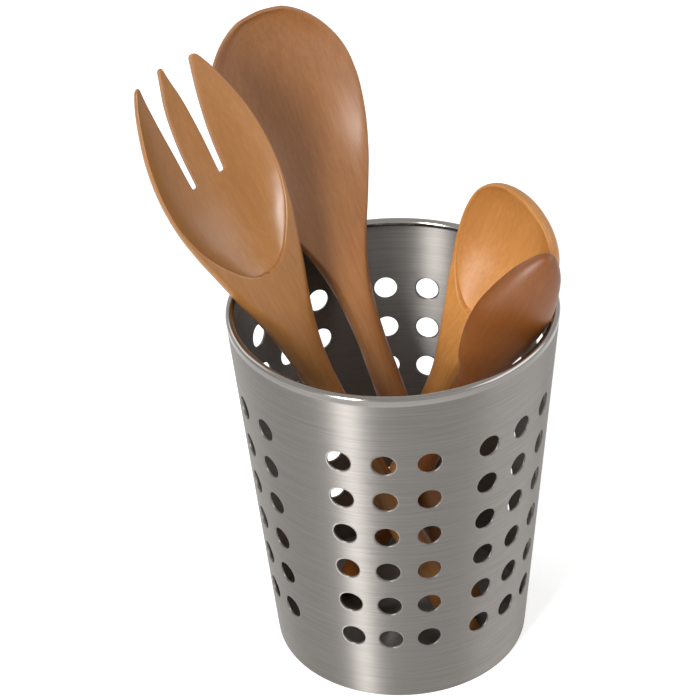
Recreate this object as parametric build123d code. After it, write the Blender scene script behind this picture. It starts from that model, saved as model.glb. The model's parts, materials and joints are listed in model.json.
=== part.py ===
from build123d import *
import math
import os
from collections import namedtuple

# A tapered utensil holder of perforated stainless steel sheet with the four
# wooden tools that stand in it. Millimetres, +Z up. The origin is the middle
# of the circle that the holder stands on. Angles round the holder are counted
# from the front (-Y) towards the right (+X).

# Holder
holder_height = 150.0
top_diameter = 125.0
bottom_diameter = 99.4
sheet_thickness = 0.8
bead_diameter = 3.2
bottom_lip_width = 3.0
bottom_edge_round = 0.6

# Base pan, pressed in from below and held by the wall's turned-in lip
base_sheet_thickness = 1.0
floor_height = 5.0
base_corner_round = 0.9
base_fit_clearance = 0.05

# Holes: six groups round the wall, each of the same columns and rows
hole_diameter = 9.1
hole_row_pitch = 17.6
lowest_hole_height = 30.9
hole_rows = 6
hole_columns = 3
hole_column_angle = 16.1
hole_group_angles = (-70.0, -4.7, 50.5, 108.5, 166.3, 226.0)
cut_overrun = 2.0

# How loosely a tool rests on the floor and against the rim
rest_clearance = 0.3
handle_end_round = 3.6

# Serving fork, front left
fork_length = 259.0
fork_head_length = 143.0
fork_head_width = 51.0
fork_handle_width = 12.2
fork_handle_thickness = 11.0
fork_head_depth = 10.0
fork_hollow_depth = 8.2
fork_hollow_length = 89.0
fork_edge_thickness = 1.6
fork_rim_width = 1.8
fork_bend = 17.5
fork_slot_length = 46.0
fork_slot_root_width = 2.7
fork_slot_spread = 4.4
fork_middle_tine_width = 10.6
fork_tip_arc_radius = 60.0
fork_foot_shares = (0.564, -0.59)
fork_lean_angle = -110.3
fork_roll = 42.3

# Large shallow spoon, back left
large_length = 256.0
large_head_length = 150.0
large_head_width = 59.5
large_handle_width = 11.6
large_handle_thickness = 10.6
large_head_depth = 9.0
large_hollow_depth = 7.0
large_hollow_length = 92.0
large_edge_thickness = 1.4
large_rim_width = 1.6
large_bend = 12.0
large_foot_shares = (0.587, -0.205)
large_lean_angle = -155.3
large_roll = 25.3

# Deep spoon, back right
deep_length = 190.8
deep_head_length = 93.8
deep_head_width = 49.6
deep_handle_width = 11.4
deep_handle_thickness = 10.6
deep_head_depth = 12.0
deep_hollow_depth = 9.6
deep_hollow_length = 59.5
deep_edge_thickness = 1.4
deep_rim_width = 1.4
deep_bend = -5.0
deep_foot_shares = (-0.227, 0.81)
deep_lean_angle = 114.0
deep_roll = -50.7

# Small spoon, right, with its back to the front
small_length = 197.0
small_head_length = 70.0
small_head_width = 29.5
small_handle_width = 11.0
small_handle_thickness = 10.2
small_head_depth = 8.5
small_hollow_depth = 6.6
small_hollow_length = 50.0
small_edge_thickness = 1.4
small_rim_width = 1.4
small_bend = -2.0
small_foot_shares = (-0.444, 0.223)
small_lean_angle = 70.3
small_roll = -167.9

# Outlines of the heads, from the neck to the tip. Places are shares of the
# head's length, widths of its width, depths of its depth and bends of the bend
# at the tip. At the neck itself the section is the handle's.
fork_place_shares = (0.00, 0.07, 0.17, 0.27, 0.37, 0.45, 0.53, 0.61, 0.70, 0.80, 0.90, 0.955, 1.00)
fork_width_shares = (0.24, 0.255, 0.32, 0.455, 0.635, 0.765, 0.89, 0.975, 1.00, 0.945, 0.80, 0.69, 0.57)
fork_depth_shares = (0.55, 0.55, 0.57, 0.63, 0.75, 0.87, 0.96, 1.00, 1.00, 0.93, 0.75, 0.60, 0.45)
fork_bend_shares = (0.00, 0.03, 0.12, 0.24, 0.36, 0.45, 0.53, 0.60, 0.68, 0.78, 0.88, 0.94, 1.00)
large_place_shares = (0.00, 0.08, 0.17, 0.27, 0.37, 0.47, 0.57, 0.67, 0.76, 0.84, 0.905, 0.95, 0.98, 0.996)
large_width_shares = (0.195, 0.19, 0.215, 0.29, 0.45, 0.66, 0.84, 0.96, 1.00, 0.945, 0.79, 0.60, 0.39, 0.18)
large_depth_shares = (0.59, 0.59, 0.60, 0.63, 0.71, 0.83, 0.94, 1.00, 1.00, 0.94, 0.80, 0.60, 0.40, 0.20)
large_bend_shares = (0.00, 0.00, 0.00, 0.02, 0.07, 0.14, 0.25, 0.38, 0.52, 0.67, 0.79, 0.89, 0.96, 1.00)
deep_place_shares = (0.00, 0.06, 0.16, 0.25, 0.34, 0.43, 0.51, 0.59, 0.67, 0.76, 0.85, 0.91, 0.95, 0.98, 0.996)
deep_width_shares = (0.23, 0.255, 0.355, 0.455, 0.575, 0.72, 0.83, 0.93, 0.99, 1.00, 0.93, 0.79, 0.62, 0.40, 0.17)
deep_depth_shares = (0.44, 0.44, 0.49, 0.58, 0.69, 0.82, 0.90, 0.97, 1.00, 0.98, 0.87, 0.70, 0.53, 0.34, 0.17)
deep_bend_shares = (0.00, 0.02, 0.10, 0.25, 0.40, 0.58, 0.73, 0.86, 0.95, 1.00, 1.02, 1.02, 1.01, 1.00, 1.00)
small_place_shares = (0.00, 0.08, 0.16, 0.26, 0.36, 0.47, 0.58, 0.68, 0.77, 0.85, 0.915, 0.957, 0.984, 0.997)
small_width_shares = (0.393, 0.49, 0.695, 0.84, 0.94, 0.99, 0.985, 0.895, 0.77, 0.625, 0.45, 0.30, 0.17, 0.08)
small_depth_shares = (0.60, 0.62, 0.70, 0.81, 0.91, 0.98, 1.00, 0.96, 0.86, 0.71, 0.54, 0.39, 0.25, 0.13)
small_bend_shares = (0.00, 0.00, 0.05, 0.10, 0.20, 0.30, 0.45, 0.58, 0.70, 0.80, 0.89, 0.94, 0.98, 1.00)

# How the round neck flattens into the head's front face
front_place_shares = (0.00, 0.08, 0.17, 0.27, 0.37, 0.48, 0.60, 0.75, 0.90, 1.00)
front_height_shares = (1.00, 0.86, 0.64, 0.42, 0.23, 0.09, 0.00, 0.00, 0.00, 0.00)

# A spoon's hollow ends inside its rim; the fork's runs out between the tines.
# Widths are shares of what the rim leaves, depths of the hollow's depth.
bowl_place_shares = (0.003, 0.02, 0.06, 0.13, 0.22, 0.35, 0.50, 0.65, 0.78, 0.88, 0.94, 0.975, 0.995)
bowl_width_shares = (0.12, 0.30, 0.52, 0.74, 0.90, 0.98, 1.00, 1.00, 1.00, 0.98, 0.93, 0.83, 0.50)
bowl_depth_shares = (0.05, 0.14, 0.32, 0.56, 0.78, 0.94, 1.00, 0.98, 0.86, 0.66, 0.48, 0.30, 0.12)
scoop_place_shares = (0.003, 0.02, 0.06, 0.13, 0.22, 0.35, 0.50, 0.65, 0.80, 0.92, 1.03)
scoop_width_shares = (0.12, 0.30, 0.52, 0.74, 0.90, 0.98, 1.00, 1.00, 1.00, 1.00, 1.00)
scoop_depth_shares = (0.05, 0.14, 0.32, 0.56, 0.78, 0.94, 1.00, 0.95, 0.78, 0.55, 0.33)

# The edges of a slot between two tines, from its root past the tips
slot_place_shares = (0.00, 0.35, 0.70, 0.92, 1.04)
slot_inner_shares = (1.00, 0.97, 0.68, 0.26, 0.08)
slot_outer_shares = (0.00, 0.22, 0.62, 0.90, 1.00)

# How finely a tool's lean is worked out
lean_halvings = 18
contact_stations = 45
contact_directions = 20

Tool = namedtuple(
    "Tool",
    "length head_length head_width handle_width handle_thickness head_depth "
    "edge_thickness rim_width hollow_depth hollow_length bend "
    "places widths depths bends foot lean_angle roll",
)

# Sizes that follow from the ones above
top_radius = top_diameter / 2
bottom_radius = bottom_diameter / 2
bead_radius = bead_diameter / 2
wall_slope_angle = math.degrees(math.atan2(top_radius - bottom_radius, holder_height))


def wall_radius(height):
    """Outer radius of the tapered wall at a height."""
    return bottom_radius + (top_radius - bottom_radius) * height / holder_height


def around(angle, radius, height):
    """The point at an angle from the front, a radius and a height."""
    turn = math.radians(angle)
    return Vector(radius * math.sin(turn), -radius * math.cos(turn), height)


def share_at(place, places, shares):
    """A share read off its table, straight between two places."""
    for start, end, low, high in zip(places, places[1:], shares, shares[1:]):
        if place <= end:
            return low + (high - low) * (place - start) / (end - start)
    return shares[-1]


def revolved(points):
    """A ring with the given outline of (radius, height) points."""
    outline = Polyline(*points, close=True)
    return revolve(Plane.XZ * make_face(outline), Axis.Z)


def tapered_wall():
    """The sheet wall with its turned-in bottom lip and its rolled rim bead."""
    rim_height = holder_height - bead_radius
    skirt = revolved([
        (bottom_radius - bottom_lip_width, 0),
        (bottom_radius, 0),
        (wall_radius(rim_height), rim_height),
        (wall_radius(rim_height) - sheet_thickness, rim_height),
        (wall_radius(sheet_thickness) - sheet_thickness, sheet_thickness),
        (bottom_radius - bottom_lip_width, sheet_thickness),
    ])
    outer_edge = skirt.edges().group_by(Axis.Z)[0].sort_by(SortBy.RADIUS)[-1]
    skirt = fillet(outer_edge, bottom_edge_round)
    return skirt + rim_bead(rim_height)


def rim_bead(rim_height):
    """The sheet's top edge, rolled inwards through three quarters of a turn."""
    centre = (wall_radius(rim_height) - bead_radius, rim_height)
    ring = Pos(*centre) * (Circle(bead_radius) - Circle(bead_radius - sheet_thickness))
    gap = Pos(*centre) * Rectangle(
        bead_radius - sheet_thickness,
        bead_radius,
        align=(Align.MIN, Align.MAX),
    )
    return revolve(Plane.XZ * (ring - gap), Axis.Z)


def hole_cutters():
    """One short rod through the wall for each hole, square to the wall."""
    middle = (hole_columns - 1) / 2
    rods = []
    for group_angle in hole_group_angles:
        for column in range(hole_columns):
            angle = group_angle + (column - middle) * hole_column_angle
            for row in range(hole_rows):
                height = lowest_hole_height + row * hole_row_pitch
                rods.append(hole_cutter(angle, height))
    return rods


def hole_cutter(angle, height):
    """A rod for one hole, centred on the wall."""
    place = around(angle, wall_radius(height), height)
    outward = around(angle, math.cos(math.radians(wall_slope_angle)), 0)
    outward -= Vector(0, 0, math.sin(math.radians(wall_slope_angle)))
    rod = Cylinder(hole_diameter / 2, 2 * (sheet_thickness + cut_overrun))
    return Plane(origin=place, z_dir=outward) * rod


def base_pan():
    """The floor disc with its turned-down flange, standing on the wall's lip."""
    foot_height = sheet_thickness + base_fit_clearance
    foot_radius = pan_radius(foot_height)
    floor_radius = pan_radius(floor_height)
    pan = revolved([
        (0, floor_height),
        (floor_radius, floor_height),
        (foot_radius, foot_height),
        (foot_radius - base_sheet_thickness, foot_height),
        (floor_radius - base_sheet_thickness, floor_height - base_sheet_thickness),
        (0, floor_height - base_sheet_thickness),
    ])
    corner = pan.edges().group_by(Axis.Z)[-1]
    return fillet(corner, base_corner_round)


def pan_radius(height):
    """Outer radius of the base pan, just inside the wall."""
    return wall_radius(height) - sheet_thickness - base_fit_clearance


def head_station(tool, place):
    """Distance along the tool, half width, depth and centre height at a place."""
    along = tool.length - tool.head_length * (1 - place)
    half_width = tool.head_width / 2 * share_at(place, tool.places, tool.widths)
    depth = tool.head_depth * share_at(place, tool.places, tool.depths)
    return along, half_width, depth, tool.bend * share_at(place, tool.places, tool.bends)


def front_height(tool, place):
    """Height of the front face over the centre line, clear of the neck at first."""
    clear = tool.handle_thickness / 2 + cut_overrun
    share = share_at(place, front_place_shares, front_height_shares)
    return tool.edge_thickness + (clear - tool.edge_thickness) * share


def oval(along, half_width, depth, centre):
    """An oval section of a tool, square to its handle."""
    return Pos(0, centre, along) * Ellipse(half_width, depth)


def head_sections(tool):
    """The sections from the handle's end of the head to the tip."""
    neck = tool.length - tool.head_length
    sections = [oval(neck, tool.handle_width / 2, tool.handle_thickness / 2, 0)]
    for place in tool.places[1:]:
        sections.append(oval(*head_station(tool, place)))
    return sections


def handle(tool):
    """The straight oval handle with its rounded end."""
    section = Ellipse(tool.handle_width / 2, tool.handle_thickness / 2)
    rod = extrude(section, tool.length - tool.head_length)
    return fillet(rod.edges().group_by(Axis.Z)[0], handle_end_round)


def front_block(tool):
    """What the head's front face cuts away, from the neck to past the tip."""
    line = []
    for place in front_place_shares:
        along, _, _, centre = head_station(tool, place)
        line.append((centre + front_height(tool, place), along))
    (low, before), (high, last) = line[-2:]
    slope = (high - low) / (last - before)
    line.append((high + slope * cut_overrun, last + cut_overrun))
    far = tool.head_width
    edges = Spline(*line) + Polyline(line[-1], (far, line[-1][1]), (far, line[0][1]), line[0])
    side = Plane.YZ * make_face(edges)
    return extrude(side, amount=tool.head_width / 2 + cut_overrun, both=True)


def hollow(tool, places, widths, depths, end_margin):
    """The round-bottomed hollow in the head's front face."""
    sections = []
    for share, width_share, depth_share in zip(places, widths, depths):
        along = tool.length - end_margin - tool.hollow_length * (1 - share)
        place = min(1, 1 - (tool.length - along) / tool.head_length)
        _, half_width, _, centre = head_station(tool, place)
        inner_half_width = (half_width - tool.rim_width) * width_share
        depth = tool.hollow_depth * depth_share
        sections.append(oval(along, inner_half_width, depth, centre + tool.edge_thickness))
    return loft(sections)


def blank_head(tool):
    """A tool's head with its flat front, before the hollow."""
    return loft(head_sections(tool)) - front_block(tool)


def spoon(tool):
    """A wooden spoon, along its own handle."""
    bowl = hollow(tool, bowl_place_shares, bowl_width_shares, bowl_depth_shares, tool.rim_width)
    return handle(tool) + (blank_head(tool) - bowl)


def fork_slot(tool, side):
    """The cutter for one slot between two tines."""
    inner_edge = []
    outer_edge = []
    for place, inner, outer in zip(slot_place_shares, slot_inner_shares, slot_outer_shares):
        along = tool.length - fork_slot_length * (1 - place)
        inner_edge.append((side * fork_middle_tine_width / 2 * inner, along))
        root = fork_middle_tine_width / 2 + fork_slot_root_width
        outer_edge.append((side * (root + fork_slot_spread * outer), along))
    edges = Spline(*inner_edge) + Line(inner_edge[-1], outer_edge[-1])
    edges += Spline(*outer_edge) + Line(outer_edge[0], inner_edge[0])
    outline = Plane.XZ * make_face(edges)
    return extrude(outline, amount=tool.head_width, both=True)


def fork(tool):
    """The wooden serving fork, along its own handle."""
    scoop = hollow(tool, scoop_place_shares, scoop_width_shares, scoop_depth_shares, 0)
    head = blank_head(tool) - scoop - fork_slot(tool, 1) - fork_slot(tool, -1)
    head -= tip_trimmer(tool)
    return handle(tool) + head


def tip_trimmer(tool):
    """What trims the tines to one arc across their tips."""
    arc = Pos(0, tool.length - fork_tip_arc_radius) * Circle(fork_tip_arc_radius)
    over = tool.head_width / 2 + cut_overrun
    block = Pos(0, tool.length) * Rectangle(2 * over, 2 * over)
    return extrude(Plane.XZ * (block - arc), amount=tool.head_width, both=True)


def leaning_plane(tool, radius):
    """The plane of a tool on the floor whose axis crosses the rim's level at a radius."""
    floor_radius = pan_radius(floor_height)
    foot = Vector(tool.foot[0] * floor_radius, tool.foot[1] * floor_radius, floor_height)
    top = around(tool.lean_angle, radius, holder_height)
    tilt = math.radians((top - foot).get_angle(Vector(0, 0, 1)))
    corner = tool.handle_width / 2 - handle_end_round
    lift = handle_end_round * (1 - math.cos(tilt)) + corner * math.sin(tilt)
    foot += Vector(0, 0, lift + rest_clearance)
    along = (top - foot).normalized()
    front = Vector(0, -1, 0)
    front = (front - along * front.dot(along)).normalized()
    roll = math.radians(tool.roll)
    front = front * math.cos(roll) + along.cross(front) * math.sin(roll)
    return Plane(origin=foot, x_dir=front.cross(along), z_dir=along)


def contact_points(tool):
    """Points on the outside of a tool, in its own frame."""
    neck = tool.length - tool.head_length
    points = []
    for index in range(contact_stations + 1):
        place = index / contact_stations
        stick = (neck * place, tool.handle_width / 2, tool.handle_thickness / 2, 0)
        points += section_points(*stick, tool.handle_thickness)
        points += section_points(*head_station(tool, place), front_height(tool, place))
    return points


def section_points(along, half_width, depth, centre, front):
    """Points round one section, with its front cut flat."""
    points = []
    for index in range(contact_directions):
        turn = 2 * math.pi * index / contact_directions
        height = min(depth * math.sin(turn), front)
        points.append(Vector(half_width * math.cos(turn), centre + height, along))
    return points


def clears_wall(point):
    """Whether a point of a tool stays inside the wall and the rim bead."""
    if point.Z > holder_height:
        return True
    room = wall_radius(point.Z) - sheet_thickness
    if point.Z > holder_height - bead_diameter:
        room = wall_radius(holder_height - bead_radius) - bead_diameter
    return math.hypot(point.X, point.Y) < room - rest_clearance


def leaned(tool):
    """The plane of a tool that leans out until it rests against the holder."""
    points = contact_points(tool)
    inside = 0
    outside = top_radius
    for _ in range(lean_halvings):
        radius = (inside + outside) / 2
        plane = leaning_plane(tool, radius)
        if all(clears_wall(plane.from_local_coords(point)) for point in points):
            inside = radius
        else:
            outside = radius
    return leaning_plane(tool, inside)


fork_tool = Tool(
    fork_length, fork_head_length, fork_head_width, fork_handle_width,
    fork_handle_thickness, fork_head_depth, fork_edge_thickness, fork_rim_width,
    fork_hollow_depth, fork_hollow_length, fork_bend,
    fork_place_shares, fork_width_shares, fork_depth_shares, fork_bend_shares,
    fork_foot_shares, fork_lean_angle, fork_roll,
)
large_tool = Tool(
    large_length, large_head_length, large_head_width, large_handle_width,
    large_handle_thickness, large_head_depth, large_edge_thickness, large_rim_width,
    large_hollow_depth, large_hollow_length, large_bend,
    large_place_shares, large_width_shares, large_depth_shares, large_bend_shares,
    large_foot_shares, large_lean_angle, large_roll,
)
deep_tool = Tool(
    deep_length, deep_head_length, deep_head_width, deep_handle_width,
    deep_handle_thickness, deep_head_depth, deep_edge_thickness, deep_rim_width,
    deep_hollow_depth, deep_hollow_length, deep_bend,
    deep_place_shares, deep_width_shares, deep_depth_shares, deep_bend_shares,
    deep_foot_shares, deep_lean_angle, deep_roll,
)
small_tool = Tool(
    small_length, small_head_length, small_head_width, small_handle_width,
    small_handle_thickness, small_head_depth, small_edge_thickness, small_rim_width,
    small_hollow_depth, small_hollow_length, small_bend,
    small_place_shares, small_width_shares, small_depth_shares, small_bend_shares,
    small_foot_shares, small_lean_angle, small_roll,
)

nodes = {
    "holder_wall": tapered_wall() - hole_cutters(),
    "holder_base": base_pan(),
    "serving_fork": leaned(fork_tool) * fork(fork_tool),
    "large_spoon": leaned(large_tool) * spoon(large_tool),
    "deep_spoon": leaned(deep_tool) * spoon(deep_tool),
    "small_spoon": leaned(small_tool) * spoon(small_tool),
}

os.makedirs("parts", exist_ok=True)
for name, shape in nodes.items():
    export_step(shape, f"parts/{name}.step")
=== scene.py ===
"""A perforated steel utensil holder with four wooden kitchen tools standing in it."""
import json
import math
from collections import namedtuple

import bpy
import numpy as np
from mathutils import Matrix, Vector


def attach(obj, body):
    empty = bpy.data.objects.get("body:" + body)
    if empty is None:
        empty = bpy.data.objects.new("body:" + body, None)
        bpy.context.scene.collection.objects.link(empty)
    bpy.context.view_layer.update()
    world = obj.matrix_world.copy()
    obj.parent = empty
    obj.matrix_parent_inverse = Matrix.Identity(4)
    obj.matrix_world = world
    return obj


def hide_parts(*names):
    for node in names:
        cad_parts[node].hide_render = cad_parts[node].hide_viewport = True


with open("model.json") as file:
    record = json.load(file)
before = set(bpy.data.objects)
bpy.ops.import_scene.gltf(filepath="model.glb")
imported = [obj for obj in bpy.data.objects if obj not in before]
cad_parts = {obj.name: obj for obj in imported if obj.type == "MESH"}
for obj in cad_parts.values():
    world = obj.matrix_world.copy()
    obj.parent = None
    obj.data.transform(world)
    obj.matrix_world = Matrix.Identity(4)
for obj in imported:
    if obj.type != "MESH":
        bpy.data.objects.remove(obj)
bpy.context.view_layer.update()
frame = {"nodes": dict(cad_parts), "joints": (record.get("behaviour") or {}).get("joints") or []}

nodes = frame["nodes"]

# The holder, in metres, as the CAD has it
HEIGHT = 0.150
TOP_RADIUS = 0.0625
FOOT_RADIUS = 0.0497
SHEET = 0.0008
BEAD_RADIUS = 0.0016
LIP_WIDTH = 0.0030
FOOT_ROUND = 0.0006
HOLE_RADIUS = 0.00455
HOLE_ARRIS = 0.00018
ROW_PITCH = 0.0176
LOWEST_ROW = 0.0309
ROWS = 6
COLUMN_ANGLE = math.radians(16.1)
COLUMNS = 3
GROUP_ANGLES = np.radians((-70.0, -4.7, 50.5, 108.5, 166.3, 226.0))
# Rings of points round a hole: how much of the way out to its cell's edge they
# lie, and how much of the arris lies inside and above them
HOLE_RING_SHARES = ((1, 0, 0), (0.5, 1, 0), (0.12, 1, 0), (0, 1, 0), (0, 0.3, 0.3), (0, 0, 1))
# Steps along a cell's side, the gap between two groups of holes, the plain
# bands below and above them, the foot's rounded edge and the rolled rim
CELL_STEPS = 10
GAP_STEPS = 8
FOOT_BAND_STEPS = 7
TOP_BAND_STEPS = 6
FOOT_ROUND_STEPS = 5
CURL_STEPS = 27

# The wooden tools, in metres, as the CAD has them, with hollows that are softer
# and partly deeper. From its edge a head goes edge_thickness out to its flat front
# and head_depth out to its back, and bend is how far its tip lies in front of the
# handle's axis. rim_width of wood is left round a hollow, fullness sets how its
# depth runs from side to side, and softness is how far its border is rounded.
# The tables are shares of the head's own length, width, depth and bend, from the
# neck to the tip. foot_shares says where the handle's end stands, in shares of the
# floor's radius, and roll turns the front of the head away from the viewer.
Tool = namedtuple(
    "Tool",
    "node slot length head_length head_width head_depth handle_width handle_thickness "
    "edge_thickness bend slotted hollow hollow_length hollow_depth rim_width fullness softness "
    "foot_shares roll place_shares width_shares depth_shares bend_shares",
)
TOOLS = {
    "fork": Tool(
        node="serving_fork", slot="fork_wood",
        length=0.259, head_length=0.143, head_width=0.051, head_depth=0.0100,
        handle_width=0.0122, handle_thickness=0.0110, edge_thickness=0.0016, bend=0.0175,
        slotted=True, hollow="scoop", hollow_length=0.089, hollow_depth=0.0092,
        rim_width=0.0012, fullness=0.72, softness=0.0024,
        foot_shares=(0.564, -0.59), roll=math.radians(42.3),
        place_shares=(0.00, 0.07, 0.17, 0.27, 0.37, 0.45, 0.53, 0.61, 0.70, 0.80, 0.90, 0.955, 1.00),
        width_shares=(0.24, 0.255, 0.32, 0.455, 0.635, 0.765, 0.89, 0.975, 1.00, 0.945, 0.80, 0.69, 0.57),
        depth_shares=(0.55, 0.55, 0.57, 0.63, 0.75, 0.87, 0.96, 1.00, 1.00, 0.93, 0.75, 0.60, 0.45),
        bend_shares=(0.00, 0.03, 0.12, 0.24, 0.36, 0.45, 0.53, 0.60, 0.68, 0.78, 0.88, 0.94, 1.00),
    ),
    "big_spoon": Tool(
        node="large_spoon", slot="large_spoon_wood",
        length=0.256, head_length=0.150, head_width=0.0595, head_depth=0.0090,
        handle_width=0.0116, handle_thickness=0.0106, edge_thickness=0.0014, bend=0.0120,
        slotted=False, hollow="dish", hollow_length=0.105, hollow_depth=0.0085,
        rim_width=0.0013, fullness=1.30, softness=0.0013,
        foot_shares=(0.587, -0.205), roll=math.radians(25.3),
        place_shares=(0.00, 0.08, 0.17, 0.27, 0.37, 0.47, 0.57, 0.67, 0.76, 0.84, 0.905, 0.95, 0.98, 0.996),
        width_shares=(0.195, 0.19, 0.215, 0.29, 0.45, 0.66, 0.84, 0.96, 1.00, 0.945, 0.79, 0.60, 0.39, 0.18),
        depth_shares=(0.59, 0.59, 0.60, 0.63, 0.71, 0.83, 0.94, 1.00, 1.00, 0.94, 0.80, 0.60, 0.40, 0.20),
        bend_shares=(0.00, 0.00, 0.00, 0.02, 0.07, 0.14, 0.25, 0.38, 0.52, 0.67, 0.79, 0.89, 0.96, 1.00),
    ),
    "bowl_spoon": Tool(
        node="deep_spoon", slot="deep_spoon_wood",
        length=0.1908, head_length=0.0938, head_width=0.0496, head_depth=0.0120,
        handle_width=0.0114, handle_thickness=0.0106, edge_thickness=0.0014, bend=-0.0050,
        slotted=False, hollow="bowl", hollow_length=0.0595, hollow_depth=0.0101,
        rim_width=0.0014, fullness=0.78, softness=0.0014,
        foot_shares=(-0.227, 0.81), roll=math.radians(-50.7),
        place_shares=(
            0.00, 0.06, 0.16, 0.25, 0.34, 0.43, 0.51, 0.59, 0.67, 0.76, 0.85, 0.91, 0.95, 0.98, 0.996,
        ),
        width_shares=(
            0.23, 0.255, 0.355, 0.455, 0.575, 0.72, 0.83, 0.93, 0.99, 1.00, 0.93, 0.79, 0.62, 0.40, 0.17,
        ),
        depth_shares=(
            0.44, 0.44, 0.49, 0.58, 0.69, 0.82, 0.90, 0.97, 1.00, 0.98, 0.87, 0.70, 0.53, 0.34, 0.17,
        ),
        bend_shares=(
            0.00, 0.02, 0.10, 0.25, 0.40, 0.58, 0.73, 0.86, 0.95, 1.00, 1.02, 1.02, 1.01, 1.00, 1.00,
        ),
    ),
    "little_spoon": Tool(
        node="small_spoon", slot="small_spoon_wood",
        length=0.197, head_length=0.070, head_width=0.0295, head_depth=0.0085,
        handle_width=0.0110, handle_thickness=0.0102, edge_thickness=0.0014, bend=-0.0020,
        slotted=False, hollow="bowl", hollow_length=0.050, hollow_depth=0.0066,
        rim_width=0.0014, fullness=0.50, softness=0.0010,
        foot_shares=(-0.444, 0.223), roll=math.radians(-167.9),
        place_shares=(0.00, 0.08, 0.16, 0.26, 0.36, 0.47, 0.58, 0.68, 0.77, 0.85, 0.915, 0.957, 0.984, 0.997),
        width_shares=(
            0.373, 0.49, 0.695, 0.84, 0.94, 0.99, 0.985, 0.895, 0.77, 0.625, 0.45, 0.30, 0.17, 0.08,
        ),
        depth_shares=(0.60, 0.62, 0.70, 0.81, 0.91, 0.98, 1.00, 0.96, 0.86, 0.71, 0.54, 0.39, 0.25, 0.13),
        bend_shares=(0.00, 0.00, 0.05, 0.10, 0.20, 0.30, 0.45, 0.58, 0.70, 0.80, 0.89, 0.94, 0.98, 1.00),
    ),
}
# How high the front stands above the head's flat front, from the neck to the tip
FRONT_PLACE_SHARES = (0.00, 0.08, 0.17, 0.27, 0.37, 0.48, 0.60, 0.75, 0.90, 1.00)
FRONT_HEIGHT_SHARES = (1.00, 0.86, 0.64, 0.42, 0.23, 0.09, 0.00, 0.00, 0.00, 0.00)
# A bowl ends inside its rim, the fork's scoop runs out between the tines, and a
# dish follows the head's outline and fades out towards the neck
Hollow = namedtuple("Hollow", "place_shares width_shares depth_shares")
HOLLOWS = {
    "bowl": Hollow(
        (0.003, 0.02, 0.06, 0.13, 0.22, 0.35, 0.50, 0.65, 0.78, 0.88, 0.94, 0.975, 0.995),
        (0.12, 0.30, 0.52, 0.74, 0.90, 0.98, 1.00, 1.00, 1.00, 0.98, 0.93, 0.83, 0.50),
        (0.03, 0.08, 0.19, 0.36, 0.58, 0.86, 1.00, 1.00, 0.88, 0.67, 0.48, 0.30, 0.12),
    ),
    "scoop": Hollow(
        (0.003, 0.02, 0.06, 0.13, 0.22, 0.35, 0.50, 0.65, 0.80, 0.92, 1.03),
        (0.12, 0.30, 0.52, 0.74, 0.90, 0.98, 1.00, 1.00, 1.00, 1.00, 1.00),
        (0.04, 0.11, 0.25, 0.52, 0.82, 1.00, 1.00, 0.91, 0.74, 0.52, 0.31),
    ),
    "dish": Hollow(
        (0.00, 0.12, 0.25, 0.40, 0.55, 0.70, 0.82, 0.90, 0.955, 0.99),
        None,
        (0.00, 0.03, 0.13, 0.56, 0.95, 1.00, 0.88, 0.70, 0.50, 0.34),
    ),
}
# The slots between the fork's tines, from their roots to the tips
SLOT_LENGTH = 0.046
SLOT_ROOT_WIDTH = 0.0027
SLOT_SPREAD = 0.0044
MIDDLE_TINE_WIDTH = 0.0106
SLOT_PLACE_SHARES = (0.00, 0.35, 0.70, 0.92, 1.04)
SLOT_NEAR_SHARES = (1.00, 0.97, 0.68, 0.26, 0.08)
SLOT_FAR_SHARES = (0.00, 0.22, 0.62, 0.90, 1.00)
TIP_ARC_RADIUS = 0.060
TIP_ROUND = 0.0014
TINE_ARRIS = 0.0005
# What all the tools share. The cut that makes a head's flat front starts
# FRONT_CLEARANCE above the handle, and a tip and a hollow's end round off over
# the two closing lengths.
END_ROUND = 0.0036
FRONT_CLEARANCE = 0.0020
ARRIS = 0.0010
TIP_CLOSING = 0.0015
HOLLOW_CLOSING = 0.003
# A flat front reaches at most this high on the head's oval, and the columns over
# the hollow take at least this much of the flat front's width
HIGHEST_FRONT_SHARE = 0.7
LEAST_HOLLOW_SHARE = 0.2
# Outside its opening and behind its start a hollow's floor climbs this steeply
SIDE_CLIMB = 3
START_CLIMB = 4
# How much faster than its depth the softness of a hollow's border grows
SOFTNESS_GROWTH = 2
# Stations along the rounded handle end, the handle, the neck, the hollow, a
# slotted head's tines, a spoon's tip and the very end of that tip
END_STATIONS = 8
HANDLE_STATIONS = 20
NECK_STATIONS = 30
HOLLOW_STATIONS = 110
TINE_STATIONS = 90
TIP_STATIONS = 12
TIP_CLOSING_STATIONS = 20
# Stations are rounded to these decimals, and none follows the slots' roots more
# closely than the gap
STATION_DIGITS = 7
STATION_GAP = 0.00001
# Columns across half a tool: over the hollow, which a slotted head divides at its
# slot's two edges, and then over the rim and the rounded outer edge
HOLLOW_COLUMNS = (30,)
SLOTTED_HOLLOW_COLUMNS = (12, 8, 18)
EDGE_COLUMNS = (14, 7)
SIDE_WALL_COLUMNS = 7
# Where the tools stand
FLOOR_RADIUS = 0.04927
FLOOR_HEIGHT = 0.005
REST_CLEARANCE = 0.0003

# Points that round to the same ten-thousandth of a millimetre are one
WELD_STEPS_PER_METRE = 1e7
TINY = 1e-9

# Noise patterns: the metres that one cell takes up, and the noise's settings
Pattern = namedtuple("Pattern", "cell settings")
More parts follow.
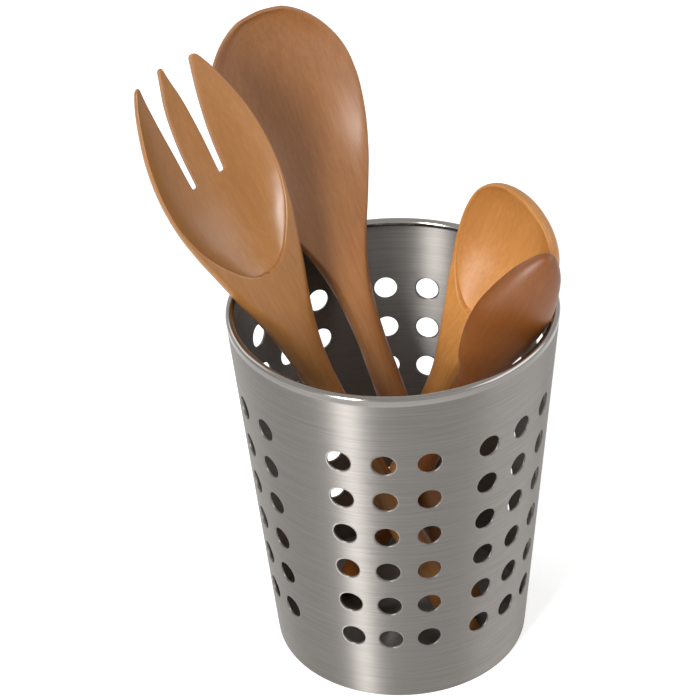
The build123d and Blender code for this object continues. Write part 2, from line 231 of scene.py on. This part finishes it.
# The patterns of the wood, each with its share of the tone
WOOD_PATTERNS = (
    # Grain lines about 1.4 mm apart that run some 50 mm along the handle
    (0.3, Pattern((0.001429, 0.001429, 0.050), {"Detail": 2.0, "Roughness": 0.5, "Distortion": 0.3})),
    # Broad, faint bands of tone, about 20 mm across
    (0.4, Pattern((0.020, 0.020, 0.100), {"Detail": 1.0})),
    # Fibres, which are finer in beech, drawn 0.6 mm apart so that the render shows them
    (0.3, Pattern((0.0005556, 0.0005556, 0.00714), {"Detail": 2.0, "Roughness": 0.6})),
)
WOOD_TONE_PLACES = (0.28, 0.42, 0.54, 0.68)
# The head is drawn darker than the handle, coming in between these two heights along a tool
HEAD_DARKENING_START = 0.12
HEAD_DARKENING_END = 0.18
# Brushing marks, which are finer in steel, drawn 0.5 mm apart and some 25 mm long
STREAKS = Pattern((0.025, 0.025, 0.0005), {"Detail": 4.0, "Roughness": 0.65})
# The rim is polished from the second of these depths under its top upwards
RIM_POLISH_DEPTHS = (0.0036, 0.0030)

# The varnished woods, from their darkest to their lightest tone. Below a head_tone
# of 1 the head is darker than the handle, and satin is the varnish's roughness.
Wood = namedtuple("Wood", "name colours head_tone satin")
WOODS = {
    "fork": Wood("varnished beech, honey", ("#8b5727", "#97642f", "#9f6a34", "#a9733d"), 0.90, 0.33),
    "big_spoon": Wood("varnished beech, russet", ("#915d33", "#9f693b", "#aa7242", "#b57e4c"), 0.75, 0.38),
    "bowl_spoon": Wood("varnished beech, amber", ("#bf7e3b", "#cb8843", "#d5924b", "#df9c55"), 0.78, 0.46),
    "little_spoon": Wood("varnished beech, dark", ("#7c4317", "#884b18", "#90521b", "#9a5c24"), 0.72, 0.44),
}

# The studio's lamps: name, place and size in metres, and power in watts. All face
# the lit point.
LAMPS = (
    ("front left softbox", (-0.72, -1.175, 0.74), (0.36, 0.75), 20.5),
    ("right softbox", (1.12, -0.05, 0.85), (1.2, 0.8), 6.6),
    ("left softbox", (-0.90, 0.70, 0.90), (0.8, 0.7), 3.0),
)
LIT_POINT = Vector((0, 0, 0.12))
# How strongly the room lights the scene, what the paper adds to look as white as
# the background, and how far it reaches to each side
ROOM_LIGHT = 0.36
PAPER_GLOW = 0.45
PAPER_REACH = 3
# The photograph's camera, found from the rim and the holes. Its sensor's width is
# in millimetres.
CAMERA_PLACE = (0, -0.80011, 0.67107)
CAMERA_YAW = math.radians(-1.1816)
CAMERA_PITCH = math.radians(-34.087)
CAMERA_ROLL = math.radians(-2.402)
FOCAL_LENGTH_PIXELS = 2564.05
IMAGE_WIDTH_PIXELS = 700
SENSOR_WIDTH = 36


def quads(grid, close=False):
    """The faces between neighbouring rows and columns of a grid of point numbers."""
    if close:
        grid = np.concatenate([grid, grid[:, :1]], axis=1)
    corners = (grid[:-1, :-1], grid[1:, :-1], grid[1:, 1:], grid[:-1, 1:])
    return np.stack([c.ravel() for c in corners], axis=1)


def weld(points, faces):
    """Joins points that lie at the same place, and drops faces that vanish."""
    keys = np.round(points * WELD_STEPS_PER_METRE).astype(np.int64)
    _, first, renumber = np.unique(keys, axis=0, return_index=True, return_inverse=True)
    faces = renumber.ravel()[faces]
    ordered = np.sort(faces, axis=1)
    faces = faces[(ordered[:, 1:] != ordered[:, :-1]).sum(axis=1) >= 2]
    return points[first], faces


class Grids:
    """Grids of points gathered into one surface."""

    def __init__(self):
        self.points, self.faces, self.count = [], [], 0

    def put(self, grid, close=False):
        """Adds a grid, joined round if close is set."""
        rows, columns = grid.shape[:2]
        numbers = np.arange(rows * columns).reshape(rows, columns) + self.count
        self.points.append(grid.reshape(-1, 3))
        self.faces.append(quads(numbers, close))
        self.count += rows * columns

    def welded(self):
        """All the points and faces, joined where they meet."""
        return weld(np.concatenate(self.points), np.concatenate(self.faces))


def new_piece(name, points, faces, made, body, slot, node):
    """Puts a finished surface into the scene as a smooth piece that rides on a body."""
    mesh = bpy.data.meshes.new(name)
    rows = [tuple(dict.fromkeys(row)) for row in faces.tolist()]
    mesh.from_pydata(points.tolist(), [], rows)
    mesh.shade_smooth()
    mesh.materials.append(made)
    piece = bpy.data.objects.new(name, mesh)
    bpy.context.scene.collection.objects.link(piece)
    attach(piece, body)
    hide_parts(node)


def wall_radius(height):
    """The wall's outer radius, which grows evenly from the foot to the top."""
    return FOOT_RADIUS + (TOP_RADIUS - FOOT_RADIUS) * height / HEIGHT


def on_wall(angle, height, inward):
    """Points of the wall at angles from the front and heights, inward of its outside."""
    radius = wall_radius(height) - inward
    return np.stack([radius * np.sin(angle), -radius * np.cos(angle), height + 0 * angle], axis=-1)


def revolved(profile, angles):
    """A profile of (radius, height) points carried round the upright axis."""
    radius, height = np.array(profile).T[:, :, None]
    return np.stack([radius * np.sin(angles), -radius * np.cos(angles), height + 0 * angles], axis=-1)


def hole_cells():
    """The wall round each hole, as rings of points that run from the cell's
    edge in to the hole, round its arris, through the sheet and out again.
    A ring at share s lies s of the way from the hole's circle to the cell's
    rectangle, and its depth is the arris's quarter round or the sheet."""
    side = np.linspace(0, 1, CELL_STEPS, endpoint=False) * 2 - 1
    one = np.ones(CELL_STEPS)
    square = np.stack([
        np.concatenate([side, one, -side, -one]),
        np.concatenate([-one, side, one, -side]),
    ], axis=-1)
    turn = np.radians(-135) + np.arange(4 * CELL_STEPS) * np.pi / (2 * CELL_STEPS)
    circle = np.stack([np.cos(turn), np.sin(turn)], axis=-1)
    rings = [(share, past * HOLE_ARRIS, deep * HOLE_ARRIS) for share, past, deep in HOLE_RING_SHARES]
    rings += [(share, past, SHEET - deep) for share, past, deep in reversed(rings)]
    middle = (COLUMNS - 1) / 2
    angles = (GROUP_ANGLES[:, None] + (np.arange(COLUMNS) - middle) * COLUMN_ANGLE).ravel()
    heights = LOWEST_ROW + np.arange(ROWS) * ROW_PITCH
    centre_angle, centre_height = (a.ravel()[:, None] for a in np.meshgrid(angles, heights))
    cells = []
    for share, past, depth in rings:
        reach = HOLE_RADIUS + past
        hole_angle = np.arcsin(np.clip(reach * circle[:, 0] / wall_radius(centre_height), -1, 1))
        hole_height = reach * circle[:, 1]
        angle = hole_angle * (1 - share) + square[:, 0] * COLUMN_ANGLE / 2 * share
        height = hole_height * (1 - share) + square[:, 1] * ROW_PITCH / 2 * share
        cells.append(on_wall(centre_angle + angle, centre_height + height, depth))
    return np.stack(cells, axis=1)


def perforated_wall():
    """The whole wall: cells with holes, the plain strips between their groups,
    the plain band and lip at the foot, and the plain band and rolled rim on top."""
    wall = Grids()
    for cell in hole_cells():
        wall.put(cell[::-1], close=True)

    half_group = COLUMN_ANGLE * COLUMNS / 2
    low = LOWEST_ROW - ROW_PITCH / 2
    high = low + ROWS * ROW_PITCH
    heights = np.linspace(low, high, ROWS * CELL_STEPS + 1)
    around = []
    for start, end in zip(GROUP_ANGLES, np.append(GROUP_ANGLES[1:], GROUP_ANGLES[0] + 2 * np.pi)):
        group = np.linspace(start - half_group, start + half_group, COLUMNS * CELL_STEPS, endpoint=False)
        gap = np.linspace(start + half_group, end - half_group, GAP_STEPS + 1)
        around += [group, gap[:-1]]
        for inward, order in ((0, -1), (SHEET, 1)):
            wall.put(on_wall(gap[None, ::order], heights[:, None], inward))
    around = np.concatenate(around)

    # The foot: down the outside, round the edge, in along the lip, back out on top of it and up
    edge = FOOT_RADIUS - FOOT_ROUND
    turn = np.linspace(0, np.pi / 2, FOOT_ROUND_STEPS + 1)
    foot = [(edge + FOOT_ROUND * np.cos(t), FOOT_ROUND - FOOT_ROUND * np.sin(t)) for t in turn]
    foot += [(FOOT_RADIUS - LIP_WIDTH, 0.0), (FOOT_RADIUS - LIP_WIDTH, SHEET), (FOOT_RADIUS - SHEET, SHEET)]
    band = np.linspace(low, FOOT_ROUND, FOOT_BAND_STEPS + 1)[:-1]
    outside = [(wall_radius(h), h) for h in band]
    inside = [(wall_radius(h) - SHEET, h) for h in band[::-1]]
    wall.put(revolved(outside + foot + inside, around), close=True)

    # The rim: up the inside, back three quarters of a turn along the curl's inner
    # face to its end, then over its outside and down
    rim_height = HEIGHT - BEAD_RADIUS
    centre = wall_radius(rim_height) - BEAD_RADIUS
    band = np.linspace(high, rim_height, TOP_BAND_STEPS + 1)[:-1]
    inside = [(wall_radius(h) - SHEET, h) for h in band]
    turn = np.linspace(0, 1.5 * np.pi, CURL_STEPS + 1)
    small = BEAD_RADIUS - SHEET
    curl = [(centre + small * np.cos(t), rim_height + small * np.sin(t)) for t in turn]
    curl += [(centre + BEAD_RADIUS * np.cos(t), rim_height + BEAD_RADIUS * np.sin(t)) for t in turn[::-1]]
    outside = [(wall_radius(h), h) for h in band[::-1]]
    wall.put(revolved(inside + curl + outside, around), close=True)
    return wall.welded()


def curve(place, places, shares):
    """A table read off along a smooth curve through all its points: between two of
    them a cubic that has the table's own slopes at both."""
    known, value = np.array(places), np.array(shares)
    slope = np.gradient(value, known)
    low = np.clip(np.searchsorted(known, place) - 1, 0, len(known) - 2)
    step = known[low + 1] - known[low]
    t = np.clip((place - known[low]) / step, 0, 1)
    return (
        (1 + 2 * t) * (1 - t) ** 2 * value[low] + t * (1 - t) ** 2 * step * slope[low]
        + t * t * (3 - 2 * t) * value[low + 1] + t * t * (t - 1) * step * slope[low + 1]
    )


def round_curve(place, places, shares):
    """The same along a curve through the squares, which keeps a tip round."""
    return np.sqrt(np.maximum(curve(place, places, np.square(shares)), 0))


def eased(start, stop, count):
    """Numbers from start to stop that lie closest together at both ends, as the
    heights of points evenly spaced along a half circle do."""
    return start + (stop - start) * (1 - np.cos(np.linspace(0, np.pi, count))) / 2


def soft_min(one, other, reach):
    """The smaller of two heights, less n^2 / 4r where they differ by r - n, so
    that their corner is rounded off over the reach r."""
    near = np.maximum(reach - abs(one - other), 0)
    return np.minimum(one, other) - near ** 2 / (4 * np.maximum(reach, TINY))


def rounded_end(along, end, reach):
    """1 along a form, falling to 0 at its end as a quarter round does."""
    return np.sqrt(np.clip(1 - np.clip(1 - (end - along) / reach, 0, 1) ** 2, 0, 1))


def chord(across, reach):
    """The height of a unit quarter round at a share of its reach."""
    return np.sqrt(np.clip(1 - (across / np.maximum(reach, TINY)) ** 2, 0, 1))


def stations(tool, hollow_start, hollow_end, end):
    """Distances along a tool, closest together where its form turns."""
    neck = tool.length - tool.head_length
    parts = [
        END_ROUND * (1 - np.cos(np.linspace(0, np.pi / 2, END_STATIONS))),
        np.linspace(END_ROUND, neck, HANDLE_STATIONS),
        eased(neck, hollow_start, NECK_STATIONS),
        eased(hollow_start, hollow_end, HOLLOW_STATIONS),
        eased(hollow_end, end, TINE_STATIONS if tool.slotted else TIP_STATIONS),
    ]
    if not tool.slotted:
        parts.append(eased(end - TIP_CLOSING, end, TIP_CLOSING_STATIONS))
    along = np.unique(np.round(np.concatenate(parts), STATION_DIGITS))
    if tool.slotted:
        along = along[(along <= hollow_end) | (along > hollow_end + STATION_GAP)]
    return along


def inset_outline(along, half, rim):
    """Half the width of the line that runs inside an outline at the distance rim."""
    slope = np.gradient(half, along)
    outward = 1 / np.sqrt(1 + slope ** 2)
    place = np.maximum.accumulate(along + rim * slope * outward)
    return np.maximum(np.interp(along, place, half - rim * outward, right=0), 0)


def cross_sections(tool, along, hollow_start, hollow_end, end):
    """The sizes of the section at each station, as a dictionary of columns: the
    oval's half width, depth and centre, how far the front stands above the head's
    flat front and how much of that covers the hollow, the hollow's half width and
    depth and half its opening, and half the width of the cut front. inner is as
    far as the columns over the hollow reach."""
    place = np.clip((along - tool.length + tool.head_length) / tool.head_length, 0, 1)
    inset = END_ROUND * (1 - chord(np.clip(END_ROUND - along, 0, END_ROUND), END_ROUND))
    tip = 1 if tool.slotted else rounded_end(along, end, TIP_CLOSING)
    width = tool.head_width / 2 * round_curve(place, tool.place_shares, tool.width_shares)
    half = (width - inset) * tip
    depth = (tool.head_depth * round_curve(place, tool.place_shares, tool.depth_shares) - inset) * tip
    centre = tool.bend * curve(place, tool.place_shares, tool.bend_shares)
    clear = tool.handle_thickness / 2 + FRONT_CLEARANCE - tool.edge_thickness
    above = clear * curve(place, FRONT_PLACE_SHARES, FRONT_HEIGHT_SHARES)

    hollow = HOLLOWS[tool.hollow]
    share = np.clip((along - hollow_start) / tool.hollow_length, 0, 1)
    closing = 1 if tool.slotted else rounded_end(along, hollow_end, HOLLOW_CLOSING)
    if tool.hollow == "dish":
        hollow_half = inset_outline(along, half, tool.rim_width)
        cover = 0 * above
    else:
        closing = closing * rounded_end(-along, -hollow_start, HOLLOW_CLOSING)
        widest = np.maximum(half - tool.rim_width, 0)
        hollow_half = widest * curve(share, hollow.place_shares, hollow.width_shares) * closing
        cover = above
    hollow_depth = tool.hollow_depth * curve(share, hollow.place_shares, hollow.depth_shares) * closing
    opening = hollow_half * chord(cover, hollow_depth)
    front_share = (tool.edge_thickness + above) / np.maximum(depth, TINY)
    flat = half * np.sqrt(1 - np.clip(front_share, 0, HIGHEST_FRONT_SHARE) ** 2)
    sizes = {
        "half": half, "depth": depth, "centre": centre, "above": above, "cover": cover,
        "hollow_half": hollow_half, "hollow_depth": hollow_depth, "opening": opening,
        "flat": flat, "inner": np.maximum(opening, LEAST_HOLLOW_SHARE * flat),
    }
    return {name: values[:, None] for name, values in sizes.items()}


def slot_lines(tool, size, along):
    """How far from the middle a slot's two edges run, drawn in towards the neck before the slot."""
    root = tool.length - SLOT_LENGTH
    share = np.clip((along - root) / SLOT_LENGTH, 0, 1)[:, None]
    near = MIDDLE_TINE_WIDTH / 2 * curve(share, SLOT_PLACE_SHARES, SLOT_NEAR_SHARES)
    spread = SLOT_SPREAD * curve(share, SLOT_PLACE_SHARES, SLOT_FAR_SHARES)
    far = MIDDLE_TINE_WIDTH / 2 + SLOT_ROOT_WIDTH + spread
    squeeze = np.minimum(size["inner"] / np.interp(root, along, size["inner"][:, 0]), 1)
    squeeze = np.where(along[:, None] < root, squeeze, 1)
    return [near * squeeze, far * squeeze]


def bands_across(reach, edges, counts):
    """Places across between each two edges, spaced by the angle that they make on
    a quarter round of the given reach and eased at both edges."""
    turns = [np.arcsin(np.clip(edge / np.maximum(reach, TINY), 0, 1)) for edge in edges]
    return [
        reach * np.sin(a + (b - a) * eased(0, 1, count + 1)[:-1])
        for a, b, count in zip(turns, turns[1:], counts)
    ]


def columns_across(size, slot_edges):
    """The place across of every column: the hollow, cut where the slots' edges
    run, then the rim, then the outer edge, mirrored to the other side."""
    inner, flat, half = size["inner"], size["flat"], size["half"]
    counts = SLOTTED_HOLLOW_COLUMNS if slot_edges else HOLLOW_COLUMNS
    bands = bands_across(inner, [0 * inner, *slot_edges, inner], counts)
    bands += bands_across(half, [inner, flat, half], EDGE_COLUMNS)
    side = np.concatenate([*bands, half], axis=1)
    return np.concatenate([-side[:, :0:-1], side], axis=1)


def front_and_back(tool, size, across):
    """The heights of a tool's front and back at each column. With half width a,
    depth d and centre c the outside is the oval (x / a)^2 + ((y - c) / d)^2 = 1.
    Its front is cut flat at c + e + f, with the edge's thickness e and the height
    f above it. A hollow b wide to each side, h deep and of fullness p goes down to
    c + e - h (1 - (x / b)^2)^p, and opens where an oval of that depth meets the
    front. A dish goes down to c + e + f - h (1 - (x / b)^2p). All cuts are rounded."""
    swell = size["depth"] * chord(across, size["half"])
    back = size["centre"] - swell
    face = size["centre"] + tool.edge_thickness + size["above"]
    front = soft_min(size["centre"] + swell, face, ARRIS)
    if tool.hollow == "dish":
        share = abs(across) / np.maximum(size["hollow_half"], TINY)
        floor = face - size["hollow_depth"] * (1 - share ** (2 * tool.fullness))
    else:
        dip = chord(np.minimum(abs(across), size["opening"]), size["hollow_half"]) ** (2 * tool.fullness)
        floor = face - size["cover"] - size["hollow_depth"] * dip
        floor += SIDE_CLIMB * np.maximum(abs(across) - size["opening"], 0)
        floor += START_CLIMB * np.maximum(size["cover"] - size["hollow_depth"], 0)
    grown = np.minimum(size["hollow_depth"] / tool.hollow_depth * SOFTNESS_GROWTH, 1)
    front = soft_min(front, floor, tool.softness * grown)
    front[:, [0, -1]] = size["centre"]
    return front, back


def wooden_tool(tool):
    """A whole tool as welded points and faces, with its handle end at the origin,
    its handle along +Z and the front of its head towards +Y."""
    hollow_start = tool.length - tool.hollow_length - (0 if tool.slotted else tool.rim_width)
    hollow_end = tool.length - (SLOT_LENGTH if tool.slotted else tool.rim_width)
    end = tool.length - tool.head_length * (1 - tool.place_shares[-1])
    along = stations(tool, hollow_start, hollow_end, end)
    size = cross_sections(tool, along, hollow_start, hollow_end, end)
    across = columns_across(size, slot_lines(tool, size, along) if tool.slotted else [])
    front, back = front_and_back(tool, size, across)
    # The handle's end closes in its middle
    middle = (size["centre"] + 0 * across)[:1]
    front, back = (np.concatenate([middle, heights]) for heights in (front, back))
    along = along[:, None] + 0 * across
    along = np.concatenate([along[:1], along])
    across = np.concatenate([0 * across[:1], across])
    grids = Grids()
    if tool.slotted:
        add_tines(tool, grids, across, front, back, along)
    else:
        grids.put(np.stack([across, front, along], axis=-1))
        grids.put(np.stack([across, back, along], axis=-1)[:, ::-1])
    return grids.welded()


def add_tines(tool, grids, across, front, back, along):
    """The fork's surface: whole up to the slots' roots, then three tines with
    rounded arrises, walls along the slots and tips that lie on one arc."""
    root = int(np.searchsorted(along[:, 0], tool.length - SLOT_LENGTH))
    last_column = across.shape[1] - 1
    middle = last_column // 2
    near = SLOTTED_HOLLOW_COLUMNS[0]
    far = near + SLOTTED_HOLLOW_COLUMNS[1]
    slots = [(middle - far, middle - near), (middle + near, middle + far)]
    tines = [(0, slots[0][0]), (slots[0][1], slots[1][0]), (slots[1][1], last_column)]
    past = np.clip((along[root:] - along[root]) / TIP_ROUND, 0, 1)
    for first, last in tines:
        part = slice(first, last + 1)
        x, low, high, z = (grid[root:, part].copy() for grid in (across, back, front, along))
        from_slot = np.full_like(x, np.inf)
        if first > 0:
            from_slot = np.minimum(from_slot, x - x[:, :1])
        if last < last_column:
            from_slot = np.minimum(from_slot, x[:, -1:] - x)
        drop = TINE_ARRIS * (1 - rounded_end(-from_slot, 0, TINE_ARRIS)) * past[:, part]
        high -= drop
        low += drop
        reach = tool.length - TIP_ARC_RADIUS + np.sqrt(TIP_ARC_RADIUS ** 2 - x[-1] ** 2)
        z = z[0] + (reach - z[0]) * (z - z[0]) / (z[-1] - z[0])
        # Near its tip every line draws in to the tine's middle, along a quarter round
        point = rounded_end(z, z[-1:], TIP_ROUND)
        x = x.mean(axis=1, keepdims=True) * (1 - point) + x * point
        z = z[-1].mean() * (1 - point) + z * point
        level = (high + low).mean(axis=1, keepdims=True) / 2
        high, low = (level * (1 - point) + y * point for y in (high, low))
        grids.put(np.stack([x, high, z], axis=-1))
        grids.put(np.stack([x, low, z], axis=-1)[:, ::-1])
        if first > 0:
            grids.put(side_wall(x[:, 0], high[:, 0], low[:, 0], z[:, 0])[:, ::-1])
        if last < last_column:
            grids.put(side_wall(x[:, -1], high[:, -1], low[:, -1], z[:, -1]))
    whole = slice(None, root + 1)
    grids.put(np.stack([across, front, along], axis=-1)[whole])
    grids.put(np.stack([across, back, along], axis=-1)[whole, ::-1])
    for first, last in slots:
        part = slice(first, last + 1)
        wall = side_wall(across[root, part], front[root, part], back[root, part], along[root, part])
        grids.put(wall[:, ::-1])


def side_wall(x, high, low, z):
    """A wall from a front edge down to a back edge."""
    share = eased(0, 1, SIDE_WALL_COLUMNS)
    return np.stack([
        x[:, None] + 0 * share,
        high[:, None] * (1 - share) + low[:, None] * share,
        z[:, None] + 0 * share,
    ], axis=-1)


def tool_axes(body):
    """The directions across, out of the front and along a tool, as rows. It lies
    along its lift joint's axis, and its front is turned by its roll from the viewer."""
    joint = next(joint for joint in frame["joints"] if joint["child"] == body)
    along = Vector(joint["axis"]).normalized()
    roll = TOOLS[body].roll
    front = Vector((0, -1, 0))
    front = (front - along * front.dot(along)).normalized()
    front = front * math.cos(roll) + along.cross(front) * math.sin(roll)
    return Matrix((front.cross(along), front, along))


def stand_in_holder(tool, axes, points):
    """Moves a tool's points to where it rests, with its handle end just clear of the floor."""
    tilt = axes[2].angle(Vector((0, 0, 1)))
    lift = END_ROUND * (1 - math.cos(tilt)) + (tool.handle_width / 2 - END_ROUND) * math.sin(tilt)
    right, behind = (share * FLOOR_RADIUS for share in tool.foot_shares)
    return points @ np.array(axes) + np.array((right, behind, FLOOR_HEIGHT + lift + REST_CLEARANCE))


def linear(hex_colour):
    """An sRGB hex colour as the linear colour that a shader wants."""
    channels = np.array([int(hex_colour[i:i + 2], 16) for i in (1, 3, 5)]) / 255
    low = channels / 12.92
    high = ((channels + 0.055) / 1.055) ** 2.4
    return (*np.where(channels <= 0.04045, low, high), 1.0)


def feed(tree, node, inputs):
    """Gives each named input of a node a value or the output that feeds it."""
    for socket, value in inputs.items():
        if isinstance(value, bpy.types.NodeSocket):
            tree.links.new(value, node.inputs[socket])
        else:
            node.inputs[socket].default_value = value


def add(tree, kind, inputs=None, stops=(), **settings):
    """Adds a node with its inputs and settings. stops are a colour ramp's places
    and hex colours."""
    made = tree.nodes.new(kind)
    for name, value in settings.items():
        setattr(made, name, value)
    feed(tree, made, inputs or {})
    if stops:
        made.color_ramp.elements.remove(made.color_ramp.elements[1])
    for index, (place, colour) in enumerate(stops):
        stop = made.color_ramp.elements[0] if index == 0 else made.color_ramp.elements.new(place)
        stop.position = place
        stop.color = linear(colour)
    return made


def add_pattern(tree, place, pattern):
    """A noise whose cells have the pattern's size in metres."""
    cells = add(tree, "ShaderNodeVectorMath", {0: place, 1: pattern.cell}, operation="DIVIDE")
    noise = {"Vector": cells.outputs[0], "Scale": 1.0, **pattern.settings}
    return add(tree, "ShaderNodeTexNoise", noise).outputs["Fac"]


def material(name):
    """A new material with its tree and its surface shader."""
    made = bpy.data.materials.new(name)
    made.use_nodes = True
    return made, made.node_tree, made.node_tree.nodes["Principled BSDF"]


def varnished_wood(wood, axes):
    """Beech, carved and varnished: the eye sees a close lengthwise grain in
    slightly uneven tones under a satin coat that alone gives the soft highlights.
    The head is drawn darker than the handle."""
    made, tree, surface = material(wood.name)
    place = add(tree, "ShaderNodeTexCoord")
    local = add(tree, "ShaderNodeMapping", {"Vector": place.outputs["Object"], "Rotation": axes.to_euler()})
    tone = 0.0
    for share, pattern in WOOD_PATTERNS:
        noise = add_pattern(tree, local.outputs[0], pattern)
        weighed = {0: noise, 1: share, 2: tone}
        tone = add(tree, "ShaderNodeMath", weighed, operation="MULTIPLY_ADD").outputs[0]
    shade = add(tree, "ShaderNodeValToRGB", {"Fac": tone}, tuple(zip(WOOD_TONE_PLACES, wood.colours)))
    # The head is drawn darker than the handle
    length = add(tree, "ShaderNodeSeparateXYZ", {0: local.outputs[0]})
    head_darkening = add(tree, "ShaderNodeMapRange", {
        "Value": length.outputs[2], "From Min": HEAD_DARKENING_START, "From Max": HEAD_DARKENING_END,
        "To Min": 1.0, "To Max": wood.head_tone,
    }, interpolation_type="SMOOTHSTEP")
    darker_head_colour = add(tree, "ShaderNodeHueSaturation", {"Color": shade.outputs[0], "Value": head_darkening.outputs[0]})
    # The last pattern, the fibres, can also be felt
    bump = add(tree, "ShaderNodeBump", {"Height": noise, "Strength": 0.06, "Distance": 0.0002})
    feed(tree, surface, {
        "Base Color": darker_head_colour.outputs[0], "Normal": bump.outputs[0], "Roughness": 0.4,
        "Specular IOR Level": 0.0, "Coat Weight": 1.0, "Coat Roughness": wood.satin,
    })
    return made


def brushed_steel():
    """Stainless steel, brushed round the holder: fine level streaks, which stretch its
    highlights upright. The rolled rim is smooth and bright, the sheet below it brushed."""
    made, tree, surface = material("brushed stainless steel")
    place = add(tree, "ShaderNodeTexCoord")
    split = add(tree, "ShaderNodeSeparateXYZ", {0: place.outputs["Object"]})
    streak = add_pattern(tree, place.outputs["Object"], STREAKS)
    shade = add(tree, "ShaderNodeValToRGB", {"Fac": streak}, ((0.3, "#7d7975"), (0.7, "#8e8a86")))
    start, full = (HEIGHT - depth for depth in RIM_POLISH_DEPTHS)
    rim = add(tree, "ShaderNodeMapRange", {"Value": split.outputs[2], "From Min": start, "From Max": full})
    rough = add(tree, "ShaderNodeMapRange", {"Value": streak, "To Min": 0.47, "To Max": 0.53})
    smoother = {0: rim.outputs[0], 1: -0.35, 2: rough.outputs[0]}
    polish = add(tree, "ShaderNodeMath", smoother, operation="MULTIPLY_ADD")
    grained = add(tree, "ShaderNodeMapRange", {"Value": rim.outputs[0], "To Min": 0.98, "To Max": 0.2})
    bump = add(tree, "ShaderNodeBump", {"Height": streak, "Strength": 0.06, "Distance": 0.0001})
    tangent = add(tree, "ShaderNodeTangent", direction_type="RADIAL", axis="Z")
    feed(tree, surface, {
        "Base Color": shade.outputs[0], "Roughness": polish.outputs[0], "Normal": bump.outputs[0],
        "Metallic": 1.0, "Anisotropic": grained.outputs[0], "Anisotropic Rotation": 0.25,
        "Tangent": tangent.outputs[0],
    })
    return made


def dress(name, made):
    """Gives a CAD node a material."""
    mesh = nodes[name].data
    mesh.materials.clear()
    mesh.materials.append(made)


def seen_by(tree, *rays):
    """1 for rays of the kinds named, and 0 for all others."""
    path = add(tree, "ShaderNodeLightPath")
    seen = path.outputs[rays[0]]
    for ray in rays[1:]:
        seen = add(tree, "ShaderNodeMath", {0: seen, 1: path.outputs[ray]}, operation="MAXIMUM").outputs[0]
    return seen


def plain_studio():
    """A pale floor and a white background, soft lamps and a level world."""
    world = bpy.data.worlds.new("pale studio")
    bpy.context.scene.world = world
    world.use_nodes = True
    tree = world.node_tree
    tree.nodes.clear()
    seen = seen_by(tree, "Is Camera Ray", "Is Glossy Ray", "Is Transmission Ray")
    light = add(tree, "ShaderNodeBackground", {"Color": linear("#ffffff"), "Strength": ROOM_LIGHT})
    view = add(tree, "ShaderNodeBackground", {"Color": linear("#ffffff"), "Strength": 1.0})
    mix = add(tree, "ShaderNodeMixShader", {0: seen, 1: light.outputs[0], 2: view.outputs[0]})
    add(tree, "ShaderNodeOutputWorld", {"Surface": mix.outputs[0]})

    # Matt white paper, which looks as white as the background but keeps its shadows
    made, tree, surface = material("white paper")
    tree.nodes.remove(surface)
    seen = seen_by(tree, "Is Camera Ray", "Is Glossy Ray")
    paper = add(tree, "ShaderNodeBsdfDiffuse", {"Color": linear("#fafafa")})
    glow = add(tree, "ShaderNodeEmission", {"Color": linear("#ffffff"), "Strength": PAPER_GLOW})
    both = add(tree, "ShaderNodeAddShader", {0: paper.outputs[0], 1: glow.outputs[0]})
    mix = add(tree, "ShaderNodeMixShader", {0: seen, 1: paper.outputs[0], 2: both.outputs[0]})
    feed(tree, tree.nodes["Material Output"], {"Surface": mix.outputs[0]})
    corners = [(x * PAPER_REACH, y * PAPER_REACH, 0) for x, y in ((-1, -1), (1, -1), (1, 1), (-1, 1))]
    mesh = bpy.data.meshes.new("floor")
    mesh.from_pydata(corners, [], [(0, 1, 2, 3)])
    mesh.materials.append(made)
    floor = bpy.data.objects.new("floor", mesh)
    bpy.context.scene.collection.objects.link(floor)

    for name, place, (width, height), power in LAMPS:
        lamp = bpy.data.lights.new(name, "AREA")
        lamp.shape = "RECTANGLE"
        lamp.size = width
        lamp.size_y = height
        lamp.energy = power
        stand = bpy.data.objects.new(name, lamp)
        stand.location = place
        stand.rotation_euler = (LIT_POINT - Vector(place)).to_track_quat("-Z", "Y").to_euler()
        bpy.context.scene.collection.objects.link(stand)


def photo_camera():
    """The camera at the place and angle from which the photograph was taken."""
    level = math.cos(CAMERA_PITCH)
    ahead = Vector((math.sin(CAMERA_YAW) * level, math.cos(CAMERA_YAW) * level, math.sin(CAMERA_PITCH)))
    right = Vector((math.cos(CAMERA_YAW), -math.sin(CAMERA_YAW), 0))
    up = right.cross(ahead)
    side = math.cos(CAMERA_ROLL) * right + math.sin(CAMERA_ROLL) * up
    above = -math.sin(CAMERA_ROLL) * right + math.cos(CAMERA_ROLL) * up
    data = bpy.data.cameras.new("camera")
    data.sensor_width = SENSOR_WIDTH
    data.lens = SENSOR_WIDTH * FOCAL_LENGTH_PIXELS / IMAGE_WIDTH_PIXELS
    camera = bpy.data.objects.new("camera", data)
    turn = Matrix((side, above, -ahead)).transposed().to_4x4()
    camera.matrix_world = Matrix.Translation(CAMERA_PLACE) @ turn
    bpy.context.scene.collection.objects.link(camera)
    bpy.context.scene.camera = camera


steel = brushed_steel()
new_piece("perforated_wall", *perforated_wall(), steel, "holder", "brushed_steel", "holder_wall")
dress("holder_base", steel)
for body, tool in TOOLS.items():
    axes = tool_axes(body)
    points, faces = wooden_tool(tool)
    points = stand_in_holder(tool, axes, points)
    varnished = varnished_wood(WOODS[body], axes)
    new_piece(f"finished_{tool.node}", points, faces, varnished, body, tool.slot, tool.node)

plain_studio()
photo_camera()
bpy.context.scene.view_settings.view_transform = "Standard"
